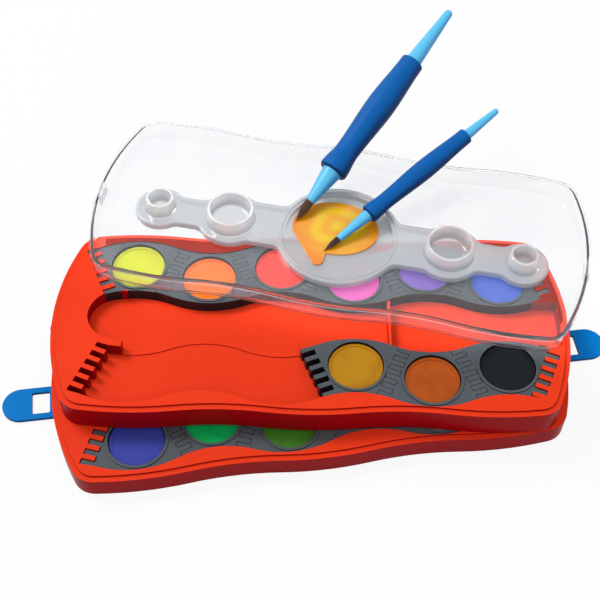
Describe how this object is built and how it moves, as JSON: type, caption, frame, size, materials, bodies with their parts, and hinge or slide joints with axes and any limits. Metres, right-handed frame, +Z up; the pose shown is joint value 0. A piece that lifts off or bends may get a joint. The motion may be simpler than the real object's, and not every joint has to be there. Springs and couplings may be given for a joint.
{
  "type": "watercolour paint set",
  "caption": "Watercolour paint set: stacked wavy trays of round paint tablets in interlocking pans, fanned on a pin, with a clear palette lid, latches and brushes.",
  "frame": {"origin": "middle of the lower tray's underside, on the table", "axes": "+Z up, +X along the upper tray as it lies in the picture, +Y to the back; the lower tray is turned 8.3 degrees from X"},
  "size_m": [0.3406, 0.2873, 0.0925],
  "materials": {
    "tray_red": "smooth moulded plastic",
    "latch_blue": "smooth moulded plastic",
    "pin_steel": "drawn wire",
    "lid_clear": "clear moulded plastic",
    "wet_paint": "wet watercolour",
    "pan_grey": "fine satin moulded plastic",
    "bristle_brown": "synthetic hair",
    "brush_light_blue": "smooth moulded plastic",
    "grip_blue": "soft sleeve",
    "paint_upper_lime": "pressed watercolour",
    "paint_upper_orange": "pressed watercolour",
    "paint_upper_red": "pressed watercolour",
    "paint_upper_pink": "pressed watercolour",
    "paint_upper_violet": "pressed watercolour",
    "paint_upper_blue": "pressed watercolour",
    "paint_upper_ochre": "pressed watercolour",
    "paint_upper_brown": "pressed watercolour",
    "paint_upper_black": "pressed watercolour",
    "paint_lower_yellow": "pressed watercolour",
    "paint_lower_peach": "pressed watercolour",
    "paint_lower_crimson": "pressed watercolour",
    "paint_lower_magenta": "pressed watercolour",
    "paint_lower_sky": "pressed watercolour",
    "paint_lower_umber": "pressed watercolour",
    "paint_lower_ultramarine": "pressed watercolour",
    "paint_lower_emerald": "pressed watercolour",
    "paint_lower_olive": "pressed watercolour",
    "paint_lower_turquoise": "pressed watercolour",
    "paint_lower_white": "pressed watercolour",
    "paint_lower_grey": "pressed watercolour"
  },
  "bodies": {
    "lower": {"lower_tray": "tray_red", "swivel_pin": "tray_red", "latch_pin_left": "pin_steel", "latch_pin_right": "pin_steel", "lower_pan_yellow": "pan_grey", "lower_paint_yellow": "paint_lower_yellow", "lower_pan_peach": "pan_grey", "lower_paint_peach": "paint_lower_peach", "lower_pan_crimson": "pan_grey", "lower_paint_crimson": "paint_lower_crimson", "lower_pan_magenta": "pan_grey", "lower_paint_magenta": "paint_lower_magenta", "lower_pan_sky": "pan_grey", "lower_paint_sky": "paint_lower_sky", "lower_pan_umber": "pan_grey", "lower_paint_umber": "paint_lower_umber", "lower_pan_ultramarine": "pan_grey", "lower_paint_ultramarine": "paint_lower_ultramarine", "lower_pan_emerald": "pan_grey", "lower_paint_emerald": "paint_lower_emerald", "lower_pan_olive": "pan_grey", "lower_paint_olive": "paint_lower_olive", "lower_pan_turquoise": "pan_grey", "lower_paint_turquoise": "paint_lower_turquoise", "lower_pan_white": "pan_grey", "lower_paint_white": "paint_lower_white", "lower_pan_grey": "pan_grey", "lower_paint_grey": "paint_lower_grey"},
    "upper": {"upper_tray": "tray_red", "upper_pan_lime": "pan_grey", "upper_paint_lime": "paint_upper_lime", "upper_pan_orange": "pan_grey", "upper_paint_orange": "paint_upper_orange", "upper_pan_red": "pan_grey", "upper_paint_red": "paint_upper_red", "upper_pan_pink": "pan_grey", "upper_paint_pink": "paint_upper_pink", "upper_pan_violet": "pan_grey", "upper_paint_violet": "paint_upper_violet", "upper_pan_blue": "pan_grey", "upper_paint_blue": "paint_upper_blue", "upper_pan_black": "pan_grey", "upper_paint_black": "paint_upper_black"},
    "ochre_pan": {"upper_pan_ochre": "pan_grey", "upper_paint_ochre": "paint_upper_ochre"},
    "brown_pan": {"upper_pan_brown": "pan_grey", "upper_paint_brown": "paint_upper_brown"},
    "left_latch": {"latch_left": "latch_blue"},
    "right_latch": {"latch_right": "latch_blue"},
    "palette_lid": {"lid": "lid_clear", "mixed_paint": "wet_paint"},
    "fine_brush": {"fine_brush_bristles": "bristle_brown", "fine_brush_ferrule": "brush_light_blue", "fine_brush_grip": "grip_blue", "fine_brush_handle": "brush_light_blue"},
    "round_brush": {"round_brush_bristles": "bristle_brown", "round_brush_ferrule": "brush_light_blue", "round_brush_grip": "grip_blue", "round_brush_handle": "brush_light_blue"}
  },
  "joints": [
    {"name": "tray_swivel", "type": "hinge", "parent": "lower", "child": "upper", "pos_m": [0.11347, 0.01049, 0.014], "axis": [0, 0, 1], "range_deg": [-60, 8.3]},
    {"name": "latch_left_fold", "type": "hinge", "parent": "lower", "child": "left_latch", "pos_m": [-0.13972, -0.02038, 0.0071], "axis": [-0.1444, 0.9895, 0], "range_deg": [0, 90]},
    {"name": "latch_right_fold", "type": "hinge", "parent": "lower", "child": "right_latch", "pos_m": [0.13972, 0.02038, 0.0071], "axis": [0.1444, -0.9895, 0], "range_deg": [0, 52]},
    {"name": "lid_lift", "type": "slide", "parent": "upper", "child": "palette_lid", "axis": [0, 0, 1], "range_m": [0, 0.08]},
    {"name": "fine_brush_lift", "type": "slide", "parent": "palette_lid", "child": "fine_brush", "axis": [0, 0, 1], "range_m": [0, 0.08]},
    {"name": "round_brush_lift", "type": "slide", "parent": "palette_lid", "child": "round_brush", "axis": [0, 0, 1], "range_m": [0, 0.08]},
    {"name": "ochre_pan_lift", "type": "slide", "parent": "upper", "child": "ochre_pan", "axis": [0, 0, 1], "range_m": [0, 0.04]},
    {"name": "brown_pan_lift", "type": "slide", "parent": "upper", "child": "brown_pan", "axis": [0, 0, 1], "range_m": [0, 0.04]}
  ]
}
